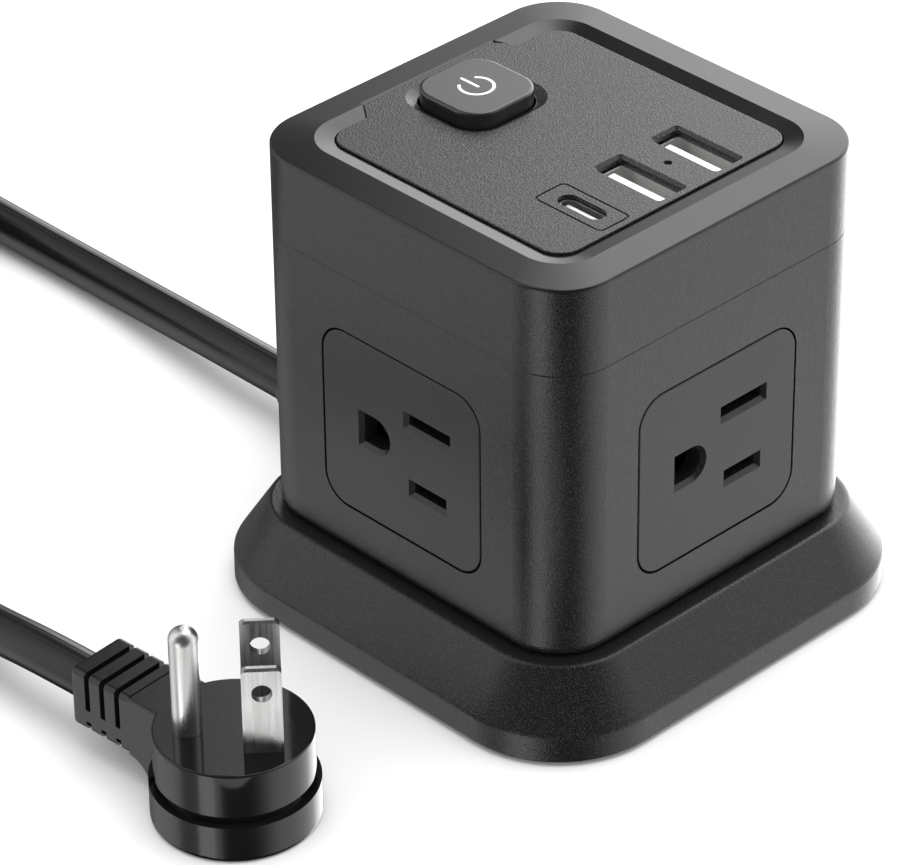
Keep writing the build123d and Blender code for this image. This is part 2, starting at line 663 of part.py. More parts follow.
with BuildPart() as usb_c_tongue:
    with BuildSketch(Plane.XY.offset(BOARD_TOP)):
        with Locations((PORT_X, -PORT_PITCH)):
            SlotOverall(8.2, 2.4)
    extrude(amount=7)
    with BuildSketch(Plane.XY.offset(BOARD_TOP + 7)):
        with Locations((PORT_X, -PORT_PITCH)):
            Rectangle(6.7, 0.7)
    extrude(amount=USB_C_TOP - 0.3 - BOARD_TOP - 7)
save(usb_c_tongue, "usb_c_tongue")

with BuildPart() as status_led:
    with BuildSketch(Plane.XY.offset(BOARD_TOP)):
        with Locations((PORT_X, LED_Y)):
            Rectangle(2.0, 1.25)
    extrude(amount=0.8)
save(status_led, "status_led")

with BuildPart() as led_light_pipe:
    with BuildSketch(Plane.XY.offset(BOARD_TOP + 0.9)):
        with Locations((PORT_X, LED_Y)):
            Circle(1.3)
    extrude(amount=PANEL_LOW - BOARD_TOP - 0.95)
    with BuildSketch(Plane.XY.offset(PANEL_LOW - 0.1)):
        with Locations((PORT_X, LED_Y)):
            Circle(0.66)
    extrude(amount=PANEL_THICK - 0.5)
save(led_light_pipe, "led_light_pipe")

with BuildPart() as usb_transformer:
    with BuildSketch(Plane.XY.offset(BOARD_LOW - 12)):
        with Locations((12, 3.4)):
            Rectangle(15, 6)
    extrude(amount=12)
    with BuildSketch(Plane.XY.offset(BOARD_LOW - 10)):
        with Locations((12, 3.4)):
            RectangleRounded(11, 14, 2)
    extrude(amount=8.5)
    with BuildSketch(Plane.XY.offset(BOARD_LOW - 1.5)):
        with Locations((12, 3.4)):
            Rectangle(13, 15)
    extrude(amount=1.5)
save(usb_transformer, "usb_transformer")

with BuildPart() as filter_capacitors:
    with BuildSketch(Plane.XY.offset(BOARD_LOW - 11.5)):
        with Locations((12, 15.5), (25, 12)):
            Circle(4.0)
    extrude(amount=11.5)
    fillet(filter_capacitors.edges().group_by(Axis.Z)[0], radius=0.5)
save(filter_capacitors, "filter_capacitors")

# ====================================================================================
# Inner wires
# ====================================================================================
WIRE_RADIUS = 1.3
THIN_WIRE_RADIUS = 0.8


def wire(points, bend, radius):
    """Insulated wire along straight runs joined by arcs."""
    with BuildPart() as insulated:
        with BuildLine():
            route = FilletPolyline(*points, radius=bend)
        with BuildSketch(Plane(origin=route @ 0, z_dir=route % 0)):
            Circle(radius)
        sweep()
    return insulated


TAB_UNDER = 0.4
save(
    wire(
        [(RELIEF_IN_X, -1.9, 8.9), (-20, -1.9, 8.9), (-9, -8, 9.5), (-9, -8, 55), (BUTTON_X, -TERMINAL_Y, 60),
         (BUTTON_X, -TERMINAL_Y, TERMINAL_LOW)],
        1.6, WIRE_RADIUS,
    ),
    "live_lead",
)
save(
    wire(
        [(RELIEF_IN_X, 1.9, 8.9), (-20, 1.9, 8.9), (-9, 3, 9.5), (-9, 3, NEUTRAL_Z - TAB_UNDER)],
        1.6, WIRE_RADIUS,
    ),
    "neutral_lead",
)
save(
    wire(
        [(RELIEF_IN_X, 0, 5.6), (-18, 0, 5.6), (-9, -3, 6.5), (-9, -3, OUTLET_Z - TAB_UNDER)],
        1.6, WIRE_RADIUS,
    ),
    "ground_lead",
)
save(
    wire(
        [(-12.3, 8, LIVE_Z + TAB_UNDER), (-12.3, 8, 55), (BUTTON_X, TERMINAL_Y, 60),
         (BUTTON_X, TERMINAL_Y, TERMINAL_LOW)],
        1.6, WIRE_RADIUS,
    ),
    "switched_lead",
)

with BuildPart() as board_leads:
    for start, end in (((-8.7, 8, LIVE_Z + TAB_UNDER), (1.5, 9, BOARD_LOW)),
                       ((-9, 3, NEUTRAL_Z + TAB_UNDER), (1.5, 4, BOARD_LOW))):
        with BuildLine():
            lead_line = FilletPolyline(start, (start[0], start[1], 56), (end[0], end[1], 62), end, radius=2)
        with BuildSketch(Plane(origin=lead_line @ 0, z_dir=lead_line % 0)):
            Circle(THIN_WIRE_RADIUS)
        sweep(path=lead_line)
save(board_leads, "board_leads")

# ====================================================================================
# Cord: strain relief, lead, coil, tie and tail
# ====================================================================================
RELIEF_AXIS = Axis((0, 0, EXIT_Z), (1, 0, 0))
RELIEF_COLLAR_X = -45.0

with BuildPart() as cord_strain_relief:
    with BuildSketch(Plane.XZ):
        with BuildLine():
            Polyline(
                (RELIEF_IN_X, EXIT_Z),
                (RELIEF_IN_X, EXIT_Z + 4.4),
                (RELIEF_COLLAR_X, EXIT_Z + 5.0),
                (RELIEF_COLLAR_X, EXIT_Z + 6.0),
                (RELIEF_COLLAR_X - 2.2, EXIT_Z + 6.0),
                (RELIEF_OUT_X, EXIT_Z + 4.7),
                (RELIEF_OUT_X, EXIT_Z),
                close=True,
            )
        make_face()
    revolve(axis=RELIEF_AXIS)
    # flange held between the two walls of the base
    with BuildSketch(Plane.YZ.offset(-35.9)):
        with Locations((0, EXIT_Z)):
            Rectangle(11, 10)
    extrude(amount=3.0)
    # flex grooves
    for groove in range(5):
        with BuildSketch(Plane.YZ.offset(-51.0 - 3.0 * groove)):
            with Locations((0, EXIT_Z)):
                Circle(7.0)
                Circle(4.4, mode=Mode.SUBTRACT)
                Rectangle(3.2, 20, mode=Mode.SUBTRACT)
        extrude(amount=1.3, mode=Mode.SUBTRACT)
    fillet(cord_strain_relief.edges().filter_by(GeomType.CIRCLE).sort_by(Axis.X)[0], radius=0.5)
save(cord_strain_relief, "cord_strain_relief")

PLUG_PLANE = Plane(
    origin=(PLUG_X, PLUG_Y, 0),
    x_dir=(cos(radians(PLUG_TURN)), sin(radians(PLUG_TURN)), 0),
    z_dir=(0, 0, 1),
)
CORD_AT_PLUG_Z = 10.6
plug_cord_end = PLUG_PLANE.from_local_coords(Vector(PLUG_RELIEF_END, 0, CORD_AT_PLUG_Z))
plug_cord_lead_in = PLUG_PLANE.from_local_coords(Vector(PLUG_RELIEF_END - 11.5, 0, CORD_AT_PLUG_Z))

# the lead goes from the strain relief down to the surface and on to the coil
LEAD_ROUTE = [
    (RELIEF_OUT_X, 0, EXIT_Z),
    (-80, 0, EXIT_Z),
    (-98, 1.6, 6.2),
    (-121, 3.7, 4.0),
    (-147, 3.6, 3.9),
    (-172, 3.7, 3.9),
]
# the tail comes down off the coil, along the surface and up to the plug
TAIL_ROUTE = [
    (-174, -81.9, 19.9),
    (-153, -82.0, 20.8),
    (-131, -82.2, 13.6),
    (-110, -82.1, 5.6),
    (-92, -81.8, 3.9),
    (-76, -82.3, 3.95),
    (-60, -84.0, 5.2),
    (-44.5, -85.9, 8.6),
    (plug_cord_lead_in.X, plug_cord_lead_in.Y, plug_cord_lead_in.Z),
    (plug_cord_end.X, plug_cord_end.Y, plug_cord_end.Z),
]


def cord_tube(points, name):
    """Round cord along runs joined by arcs as large as the shorter run allows."""
    spots = [Vector(*point) for point in points]
    runs = [after - before for before, after in zip(spots, spots[1:])]
    radii = []
    for before, after in zip(runs, runs[1:]):
        turn = before.get_angle(after)
        radii.append(0.45 * min(before.length, after.length) / tan(radians(turn) / 2))
    print(name, "arc radii", [round(radius) for radius in radii])
    with BuildPart() as tube:
        with BuildLine():
            route = FilletPolyline(*spots, radius=radii)
        with BuildSketch(Plane(origin=route @ 0, z_dir=route % 0)):
            Circle(CORD_D / 2)
        sweep()
    print(name, "length", round(route.length, 1), "volume over section times length",
          round(tube.part.volume / (pi * CORD_D**2 / 4 * route.length), 4))
    return tube


save(cord_tube(LEAD_ROUTE, "cord_lead"), "cord_lead")
save(cord_tube(TAIL_ROUTE, "cord_tail"), "cord_tail")

with BuildPart() as cord_coil:
    with BuildSketch(Plane.XY.offset(COIL_Z)):
        with Locations((COIL_X, COIL_Y)):
            Circle(COIL_OUTER)
            Circle(COIL_INNER, mode=Mode.SUBTRACT)
    extrude(amount=COIL_HIGH)
    fillet(cord_coil.edges(), radius=3.0)
save(cord_coil, "cord_coil")

TIE_THICK = 0.9
with BuildPart() as cord_tie:
    with BuildSketch(Plane.XZ.offset(-COIL_Y + 6)):
        with Locations((COIL_X - (COIL_OUTER + COIL_INNER) / 2 + 0.25, COIL_Z + COIL_HIGH / 2)):
            RectangleRounded(COIL_OUTER - COIL_INNER + 2.7, COIL_HIGH + 2 * TIE_THICK, 3.6)
            RectangleRounded(COIL_OUTER - COIL_INNER + 0.9, COIL_HIGH + 0.1, 2.8, mode=Mode.SUBTRACT)
    extrude(amount=-12)
save(cord_tie, "cord_tie")

# ====================================================================================
# Plug
# ====================================================================================
pin_plane = Plane(
    origin=(PLUG_X, PLUG_Y, 0),
    x_dir=(cos(radians(180 + PLUG_TURN + PIN_TURN)), sin(radians(180 + PLUG_TURN + PIN_TURN)), 0),
    z_dir=(0, 0, 1),
)
BLADE_BACK = -4.7       # the blades lie this far from the middle, away from the ground pin
GROUND_AHEAD = BLADE_BACK + GROUND_OFFSET
GROOVE_HALF = 0.8


NECK_FLARE = 9.0


def plug_outline(radius, low):
    """Plan outline of the plug on one level: a disc with a neck that flares into it."""
    with BuildSketch(PLUG_PLANE.offset(low)) as outline:
        Circle(radius)
        with Locations((NECK_END / 2, 0)):
            Rectangle(-NECK_END, NECK_WIDE)
        waist_x = -((radius**2 - (NECK_WIDE / 2) ** 2) ** 0.5)
        waist = []
        for corner in outline.vertices():
            if abs(PLUG_PLANE.to_local_coords(Vector(corner)).X - waist_x) < 0.05:
                waist.append(corner)
        fillet(waist, radius=NECK_FLARE)
    return outline.sketch


def groove_ring(low):
    """Plan of the groove round the disc, open towards the neck."""
    with BuildSketch(PLUG_PLANE.offset(low)) as ring:
        Circle(20)
        Circle(PLUG_RADIUS - 0.9, mode=Mode.SUBTRACT)
        with Locations((-17, 0)):
            Rectangle(16, 40, mode=Mode.SUBTRACT)
    return ring.sketch


def pins_outline(low, grow=0.0):
    """Plan of the two blades and the ground pin."""
    with BuildSketch(pin_plane.offset(low)) as pins:
        with Locations((BLADE_BACK, BLADE_PITCH / 2), (BLADE_BACK, -BLADE_PITCH / 2)):
            Rectangle(BLADE_WIDE + grow, BLADE_THICK + grow)
        with Locations((GROUND_AHEAD, 0)):
            Circle((GROUND_D + grow) / 2)
    return pins.sketch


with BuildPart() as plug_lower:
    extrude(plug_outline(PLUG_FOOT_RADIUS, 0), amount=PLUG_SEAM_Z)
    # the neck is raised off the surface and curves down into the disc
    with BuildSketch(Plane(PLUG_PLANE.origin, x_dir=PLUG_PLANE.x_dir, z_dir=-PLUG_PLANE.y_dir)):
        with BuildLine():
            Polyline(
                (NECK_ARCH_END, 0), (NECK_ARCH_END, -5), (NECK_END - 4, -5), (NECK_END - 4, NECK_LOW_Z),
                (NECK_END, NECK_LOW_Z),
            )
            ThreePointArc(
                (NECK_END, NECK_LOW_Z),
                (NECK_ARCH_END + (NECK_END - NECK_ARCH_END) * 0.27, NECK_LOW_Z * 0.66),
                (NECK_ARCH_END, 0),
            )
        make_face()
    extrude(amount=20, both=True, mode=Mode.SUBTRACT)
    extrude(groove_ring(PLUG_SEAM_Z - GROOVE_HALF), amount=GROOVE_HALF, mode=Mode.SUBTRACT)
    fillet(plug_lower.edges().group_by(Axis.Z)[0], radius=1.0)
save(plug_lower, "plug_lower")

with BuildPart() as plug_upper:
    extrude(plug_outline(PLUG_RADIUS, PLUG_SEAM_Z), amount=PLUG_Z - PLUG_SEAM_Z)
    fillet(plug_upper.edges().group_by(Axis.Z)[-1], radius=0.35)
    extrude(groove_ring(PLUG_SEAM_Z), amount=GROOVE_HALF, mode=Mode.SUBTRACT)
    extrude(pins_outline(PIN_ROOT_Z), amount=PLUG_Z - PIN_ROOT_Z, mode=Mode.SUBTRACT)
save(plug_upper, "plug_upper")

with BuildPart() as plug_strain_relief:
    with BuildSketch(Plane(PLUG_PLANE.from_local_coords(Vector(NECK_END, 0, 0)),
                           x_dir=PLUG_PLANE.y_dir, z_dir=-PLUG_PLANE.x_dir)):
        with Locations((0, -(PLUG_Z + NECK_LOW_Z) / 2)):
            RectangleRounded(NECK_WIDE, PLUG_Z - NECK_LOW_Z, 0.9)
    extrude(amount=NECK_END - PLUG_RELIEF_END)
    fillet(plug_strain_relief.faces().sort_by(Axis.X)[0].edges(), radius=0.85)
    # flex grooves over the top and the upper sides, and notches low on the sides
    for groove in range(3):
        groove_x = NECK_END - 2.4 - 3.4 * groove
        with BuildSketch(PLUG_PLANE.offset(9.4)):
            with Locations((groove_x, 0)):
                Rectangle(1.1, 20)
                Rectangle(2, NECK_WIDE - 2.0, mode=Mode.SUBTRACT)
        extrude(amount=12, mode=Mode.SUBTRACT)
        with BuildSketch(PLUG_PLANE.offset(PLUG_Z - 1.3)):
            with Locations((groove_x, 0)):
                Rectangle(1.1, 20)
        extrude(amount=3, mode=Mode.SUBTRACT)
        with BuildSketch(PLUG_PLANE.offset(NECK_LOW_Z - 1)):
            with Locations((groove_x, 0)):
                Rectangle(1.1, 20)
                Rectangle(2, NECK_WIDE - 2.0, mode=Mode.SUBTRACT)
        extrude(amount=2.8, mode=Mode.SUBTRACT)
save(plug_strain_relief, "plug_strain_relief")

BLADE_TIP_Z = PLUG_Z + BLADE_LONG
for blade, side in (("live_blade", 1), ("neutral_blade", -1)):
    blade_plane = Plane(
        origin=pin_plane.from_local_coords(Vector(BLADE_BACK, side * BLADE_PITCH / 2, 0)),
        x_dir=pin_plane.x_dir,
        z_dir=-pin_plane.y_dir,
    )
    with BuildPart() as flat_blade:
        with BuildSketch(blade_plane) as broad_face:
            with Locations((0, (PIN_ROOT_Z + BLADE_TIP_Z) / 2)):
                Rectangle(BLADE_WIDE, BLADE_TIP_Z - PIN_ROOT_Z)
            chamfer(broad_face.vertices().group_by(Axis.Y)[-1], length=0.8)
            with Locations((0, BLADE_TIP_Z - 4.6)):
                Circle(1.65, mode=Mode.SUBTRACT)
        extrude(amount=BLADE_THICK / 2, both=True)
        chamfer(flat_blade.edges().group_by(Axis.Z)[-1].sort_by(SortBy.LENGTH)[-2:], length=0.4)
    save(flat_blade, blade)

with BuildPart() as ground_pin:
    with BuildSketch(pin_plane.offset(PIN_ROOT_Z)):
        with Locations((GROUND_AHEAD, 0)):
            Circle(GROUND_D / 2)
    extrude(amount=PLUG_Z - PIN_ROOT_Z + GROUND_LONG)
    fillet(ground_pin.edges().group_by(Axis.Z)[-1], radius=2.1)
save(ground_pin, "ground_pin")
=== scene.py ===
"""The looks of a cube-shaped power strip with its cord and plug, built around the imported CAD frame.

Lengths that belong to the object are written in millimetres and turned into metres by MM.
+X and -Y are the two tower faces that the camera sees, +Z is up and the floor is z = 0.
"""

import math

import bmesh
import bpy
from mathutils import Matrix, Vector


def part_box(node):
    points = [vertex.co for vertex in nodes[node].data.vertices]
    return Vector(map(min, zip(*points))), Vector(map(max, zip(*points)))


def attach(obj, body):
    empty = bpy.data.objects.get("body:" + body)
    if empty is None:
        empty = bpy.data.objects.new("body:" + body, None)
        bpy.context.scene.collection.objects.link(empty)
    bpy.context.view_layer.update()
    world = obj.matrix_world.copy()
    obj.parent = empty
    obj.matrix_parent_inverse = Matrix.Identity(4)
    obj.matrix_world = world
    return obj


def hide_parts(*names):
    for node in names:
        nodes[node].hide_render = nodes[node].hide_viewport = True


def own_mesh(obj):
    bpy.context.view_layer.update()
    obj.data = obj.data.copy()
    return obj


MM = 0.001
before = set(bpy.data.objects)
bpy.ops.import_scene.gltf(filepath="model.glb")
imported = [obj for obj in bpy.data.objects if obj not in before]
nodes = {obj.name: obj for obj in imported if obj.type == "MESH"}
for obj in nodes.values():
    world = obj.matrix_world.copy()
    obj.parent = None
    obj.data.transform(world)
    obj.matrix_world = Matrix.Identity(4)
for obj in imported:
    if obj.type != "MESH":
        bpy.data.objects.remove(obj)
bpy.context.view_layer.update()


# ---------------------------------------------------------------- camera

CAMERA_AZIMUTH = 46.244  # degrees, from -Y towards +X
CAMERA_ELEVATION = 33.352
CAMERA_ROLL = -0.695
CAMERA_DISTANCE = 805.736 * MM
CAMERA_AIM = (-18.102 * MM, 0.0, 28.236 * MM)  # along the camera's right, its up, and the object's Z
CAMERA_LENS = 192.7      # millimetres of focal length, on a sensor 36 mm wide
SENSOR_WIDTH = 36.0
CAMERA_CLIP = (0.01, 50.0)


def build_camera():
    """A long lens that looks down at the corner between the two front faces."""
    azimuth, elevation = math.radians(CAMERA_AZIMUTH), math.radians(CAMERA_ELEVATION)
    roll = math.radians(CAMERA_ROLL)
    back = Vector((
        math.sin(azimuth) * math.cos(elevation),
        -math.cos(azimuth) * math.cos(elevation),
        math.sin(elevation),
    ))
    right = Vector((math.cos(azimuth), math.sin(azimuth), 0.0))
    up = back.cross(right)
    right, up = (
        right * math.cos(roll) + up * math.sin(roll),
        up * math.cos(roll) - right * math.sin(roll),
    )
    along_right, along_up, height = CAMERA_AIM
    place = back * CAMERA_DISTANCE + right * along_right + up * along_up + Vector((0, 0, height))
    data = bpy.data.cameras.new("camera")
    data.lens = CAMERA_LENS
    data.sensor_width = SENSOR_WIDTH
    data.clip_start, data.clip_end = CAMERA_CLIP
    camera = bpy.data.objects.new("camera", data)
    turn = Matrix((right, up, back)).transposed()
    camera.matrix_world = Matrix.Translation(place) @ turn.to_4x4()
    bpy.context.scene.collection.objects.link(camera)
    bpy.context.scene.camera = camera


build_camera()


# ---------------------------------------------------------------- node helpers

def join(tree, socket, source):
    """Feeds an input socket from source, which is an output socket, a plain value or a colour."""
    if isinstance(source, bpy.types.NodeSocket):
        tree.links.new(source, socket)
    elif isinstance(source, (tuple, list)) and len(source) == 3 and socket.type == "RGBA":
        socket.default_value = (*source, 1.0)
    else:
        socket.default_value = source


class Shader:
    """A material with a Principled shader, and short calls for the nodes that feed it."""

    def __init__(self, name, **values):
        self.material = bpy.data.materials.new(name)
        self.material.use_nodes = True
        self.tree = self.material.node_tree
        self.bsdf = self.tree.nodes["Principled BSDF"]
        for socket, value in values.items():
            self.bsdf.inputs[socket.replace("_", " ")].default_value = value
        self.place = self.node("ShaderNodeTexCoord").outputs["Object"]

    def node(self, kind, **settings):
        new = self.tree.nodes.new(kind)
        for key, value in settings.items():
            setattr(new, key, value)
        return new

    def feed(self, socket, source):
        join(self.tree, socket, source)

    def set(self, socket, source):
        self.feed(self.bsdf.inputs[socket], source)

    def stretched(self, scale, source=None):
        """Coordinates scaled by a vector, which makes a texture longer in one direction."""
        mapping = self.node("ShaderNodeMapping")
        self.feed(mapping.inputs["Vector"], source or self.place)
        mapping.inputs["Scale"].default_value = scale
        return mapping.outputs["Vector"]

    def noise(self, scale, detail=2.0, vector=None):
        noise = self.node("ShaderNodeTexNoise")
        self.feed(noise.inputs["Vector"], vector or self.place)
        noise.inputs["Scale"].default_value = scale
        noise.inputs["Detail"].default_value = detail
        noise.inputs["Roughness"].default_value = 0.5
        return noise.outputs["Fac"]

    def cells(self, scale):
        """Small rounded dimples, side by side."""
        cells = self.node("ShaderNodeTexVoronoi", feature="SMOOTH_F1")
        self.feed(cells.inputs["Vector"], self.place)
        cells.inputs["Scale"].default_value = scale
        cells.inputs["Smoothness"].default_value = 0.6
        return cells.outputs["Distance"]

    def bands(self, scale, direction):
        """Parallel threads across one direction."""
        wave = self.node("ShaderNodeTexWave", wave_type="BANDS", bands_direction=direction)
        self.feed(wave.inputs["Vector"], self.place)
        wave.inputs["Scale"].default_value = scale
        return wave.outputs["Fac"]

    def spread(self, source, low, high, start=0.3, end=0.7):
        """Maps the part of a texture between start and end to low..high."""
        spread = self.node("ShaderNodeMapRange")
        self.feed(spread.inputs["Value"], source)
        for socket, value in (("From Min", start), ("From Max", end), ("To Min", low), ("To Max", high)):
            spread.inputs[socket].default_value = value
        return spread.outputs["Result"]

    def maths(self, operation, first, second):
        maths = self.node("ShaderNodeMath", operation=operation)
        self.feed(maths.inputs[0], first)
        self.feed(maths.inputs[1], second)
        return maths.outputs["Value"]

    def blend(self, factor, first, second):
        """Mixes two colours, each a socket or three numbers."""
        mix = self.node("ShaderNodeMix", data_type="RGBA")
        self.feed(mix.inputs["Factor"], factor)
        colours = [socket for socket in mix.inputs if socket.type == "RGBA"]
        self.feed(colours[0], first)
        self.feed(colours[1], second)
        return next(socket for socket in mix.outputs if socket.type == "RGBA")

    def bump(self, height, depth, under=None):
        """A bump of the given depth in metres, on top of another one if under is given."""
        bump = self.node("ShaderNodeBump")
        bump.inputs["Strength"].default_value = 1.0
        bump.inputs["Distance"].default_value = depth
        self.feed(bump.inputs["Height"], height)
        if under:
            self.feed(bump.inputs["Normal"], under)
        return bump.outputs["Normal"]


def grey(value, warmth=0.0):
    """A grey with a slight warm or cool cast."""
    return (value * (1 + warmth), value, value * (1 - warmth))


# ---------------------------------------------------------------- materials

GRAIN = 3300.0          # grain cells per metre: just under a third of a millimetre each
FINE_GRAIN = 5200.0
RIM_POLISH_FROM = 84.2 * MM   # the mould was polished from here up, round the tower's rim
POLISH_FADE = 0.25 * MM
POLISHED_ROUGHNESS = 0.16
COOL = -0.02            # the black plastics lean slightly to blue


def moulded_plastic(name, base, glint_grey, roughness, depth, grain=GRAIN, polish_from=None):
    """Moulded ABS with a fine spark-eroded grain: small pits, slow changes of gloss, and pale flecks in
    the base colour, which are painted glints off the grain.

    base is the plastic's grey and the grey after it is the colour of the painted glints, and depth is
    the grain's. From the height polish_from up there is no grain and no painted glints.
    """
    shader = Shader(name)
    # Fine noise that speckles the roughness and places the painted glints.
    glint_noise = shader.noise(grain * 1.2, detail=1.0)
    patches = shader.noise(38.0, detail=3.0)
    pits = shader.maths("ADD", shader.cells(grain), shader.noise(grain * 1.6, detail=1.0))
    shine = shader.maths(
        "ADD",
        shader.spread(patches, roughness - 0.02, roughness + 0.02),
        shader.spread(glint_noise, -0.03, 0.03),
    )
    # Pale flecks painted into the base colour as glints off the grain, not lit by any lamp.
    painted_glints = shader.spread(glint_noise, 0.0, 1.0, 0.46, 0.72)
    if polish_from:
        split = shader.node("ShaderNodeSeparateXYZ")
        shader.feed(split.inputs[0], shader.place)
        grained = shader.spread(split.outputs["Z"], 1.0, 0.0, polish_from, polish_from + POLISH_FADE)
        pits = shader.maths("MULTIPLY", pits, grained)
        painted_glints = shader.maths("MULTIPLY", painted_glints, grained)
        polish = shader.spread(grained, POLISHED_ROUGHNESS - roughness, 0.0, 0.0, 1.0)
        shine = shader.maths("ADD", shine, polish)
    shader.set("Base Color", shader.blend(painted_glints, grey(base, COOL), grey(glint_grey, COOL)))
    shader.set("Roughness", shine)
    shader.set("Normal", shader.bump(pits, depth))
    return shader.material


def smooth_plastic(name, base, roughness, coat=0.0):
    """A polished or lightly matt moulding, with faint sink marks and slow changes of gloss."""
    shader = Shader(name, Coat_Weight=coat, Coat_Roughness=0.06)
    haze = shader.noise(90.0, detail=4.0)
    shader.set("Base Color", shader.blend(haze, grey(base * 0.9), grey(base * 1.1)))
    shader.set("Roughness", shader.spread(haze, roughness - 0.02, roughness + 0.02))
    shader.set("Normal", shader.bump(shader.noise(700.0), 0.004 * MM))
    return shader.material


def tinted_plastic(name, colour, roughness=0.45):
    """A coloured moulding, wire jacket or tape."""
    shader = Shader(name)
    shade = shader.noise(400.0, detail=2.0)
    shader.set("Base Color", shader.blend(shade, tuple(c * 0.85 for c in colour), colour))
    shader.set("Roughness", shader.spread(shade, roughness - 0.05, roughness + 0.05))
    shader.set("Normal", shader.bump(shade, 0.01 * MM))
    return shader.material


def drawn_metal(name, colour, roughness, along=(1.0, 1.0, 0.04), streak=1800.0):
    """Stamped or drawn metal with fine lines along one direction."""
    shader = Shader(name, Metallic=1.0)
    lines = shader.noise(streak, detail=3.0, vector=shader.stretched(along))
    stains = shader.noise(220.0, detail=3.0)
    shader.set("Base Color", shader.blend(stains, tuple(c * 0.93 for c in colour), colour))
    shader.set("Roughness", shader.maths(
        "ADD",
        shader.spread(lines, roughness - 0.05, roughness + 0.07),
        shader.spread(stains, -0.03, 0.03),
    ))
    shader.set("Normal", shader.bump(lines, 0.0015 * MM))
    return shader.material


def cord_jacket(name, base, roughness):
    """Extruded PVC: die lines along the cord, and slight waves from the cores inside it.

    The curve's UV runs once along the whole cord in X and once around it in Y.
    """
    shader = Shader(name, Specular_IOR_Level=0.42)
    around = shader.node("ShaderNodeTexCoord").outputs["UV"]
    lines = shader.noise(1.0, detail=3.0, vector=shader.stretched((4.0, 46.0, 1.0), around))
    lumps = shader.noise(1.0, detail=1.0, vector=shader.stretched((150.0, 3.0, 1.0), around))
    shader.set("Base Color", shader.blend(lines, grey(base * 0.8), grey(base * 1.25)))
    shader.set("Roughness", shader.spread(lines, roughness - 0.07, roughness + 0.09))
    waves = shader.bump(lumps, 0.05 * MM)
    shader.set("Normal", shader.bump(lines, 0.1 * MM, under=waves))
    return shader.material


def woven_fabric(name, base):
    """Hook-and-loop tape: a fine weave with a fuzzy pile."""
    shader = Shader(name, Sheen_Weight=0.35, Sheen_Roughness=0.5)
    warp = shader.bands(260.0, "Y")
    weft = shader.bands(260.0, "DIAGONAL")
    weave = shader.maths("MULTIPLY", warp, weft)
    pile = shader.noise(2600.0, detail=3.0)
    shader.set("Base Color", shader.blend(weave, grey(base * 0.6), grey(base * 1.5)))
    shader.set("Roughness", 0.92)
    shader.set("Normal", shader.bump(pile, 0.08 * MM, under=shader.bump(weave, 0.12 * MM)))
    return shader.material


def circuit_board(name):
    """Green solder mask over copper tracks, which show as slightly paler lines."""
    shader = Shader(name, Coat_Weight=0.4, Coat_Roughness=0.15)
    tracks = shader.node("ShaderNodeTexBrick")
    shader.feed(tracks.inputs["Vector"], shader.place)
    tracks.inputs["Scale"].default_value = 160.0
    tracks.inputs["Mortar Size"].default_value = 0.05
    shader.set("Base Color", shader.blend(tracks.outputs["Fac"], MASK_GREEN, TRACK_GREEN))
    shader.set("Roughness", 0.38)
    shader.set("Normal", shader.bump(tracks.outputs["Fac"], 0.03 * MM))
    return shader.material


def clear_plastic(name):
    """Clear acrylic with a faint haze."""
    shader = Shader(name, IOR=1.49, Transmission_Weight=0.9)
    haze = shader.noise(500.0)
    shader.set("Base Color", shader.blend(haze, grey(0.55), grey(0.7)))
    shader.set("Roughness", shader.spread(haze, 0.12, 0.25))
    return shader.material


NICKEL = (0.80, 0.795, 0.785)
BRASS = (0.80, 0.56, 0.24)
STEEL = (0.60, 0.60, 0.61)
MASK_GREEN = (0.010, 0.10, 0.035)
TRACK_GREEN = (0.03, 0.20, 0.07)
ALL_WAYS = (1.0, 1.0, 1.0)      # brushing with no direction

FINISHES = {
    # In the grained plastics the second grey is the colour of the painted glints.
    "housing_plastic": moulded_plastic(
        "housing_plastic", 0.008, 0.026, 0.21, 0.034 * MM, polish_from=RIM_POLISH_FROM
    ),
    "panel_plastic": moulded_plastic("panel_plastic", 0.008, 0.045, 0.21, 0.03 * MM),
    "outlet_plastic": moulded_plastic("outlet_plastic", 0.008, 0.02, 0.26, 0.01 * MM, grain=FINE_GRAIN),
    "inner_plastic": smooth_plastic("inner_plastic", 0.016, 0.5),
    "button_plastic": smooth_plastic("button_plastic", 0.014, 0.26, coat=0.5),
    "switch_plastic": smooth_plastic("switch_plastic", 0.02, 0.42),
    "plug_plastic": smooth_plastic("plug_plastic", 0.007, 0.07),
    "rubber": moulded_plastic("rubber", 0.016, 0.02, 0.75, 0.02 * MM),
    "cord_pvc": cord_jacket("cord_pvc", 0.008, 0.16),
    "tie_fabric": woven_fabric("tie_fabric", 0.014),
    "pin_nickel": drawn_metal("pin_nickel", NICKEL, 0.29),
    "brass": drawn_metal("brass", BRASS, 0.3),
    "steel": drawn_metal("steel", STEEL, 0.32, along=ALL_WAYS),
    "port_steel": drawn_metal("port_steel", NICKEL, 0.34, along=ALL_WAYS, streak=900.0),
    "port_white": tinted_plastic("port_white", (0.93, 0.93, 0.92), 0.4),
    "board_green": circuit_board("board_green"),
    "transformer": tinted_plastic("transformer", (0.70, 0.52, 0.05), 0.35),
    "capacitor": tinted_plastic("capacitor", (0.02, 0.025, 0.06), 0.3),
    "clear_acrylic": clear_plastic("clear_acrylic"),
    "led_white": tinted_plastic("led_white", (0.85, 0.85, 0.78), 0.3),
    "wire_black": tinted_plastic("wire_black", (0.014, 0.014, 0.014)),
    "wire_white": tinted_plastic("wire_white", (0.78, 0.78, 0.76)),
    "wire_green": tinted_plastic("wire_green", (0.02, 0.30, 0.06)),
    "wire_red": tinted_plastic("wire_red", (0.50, 0.02, 0.015)),
}

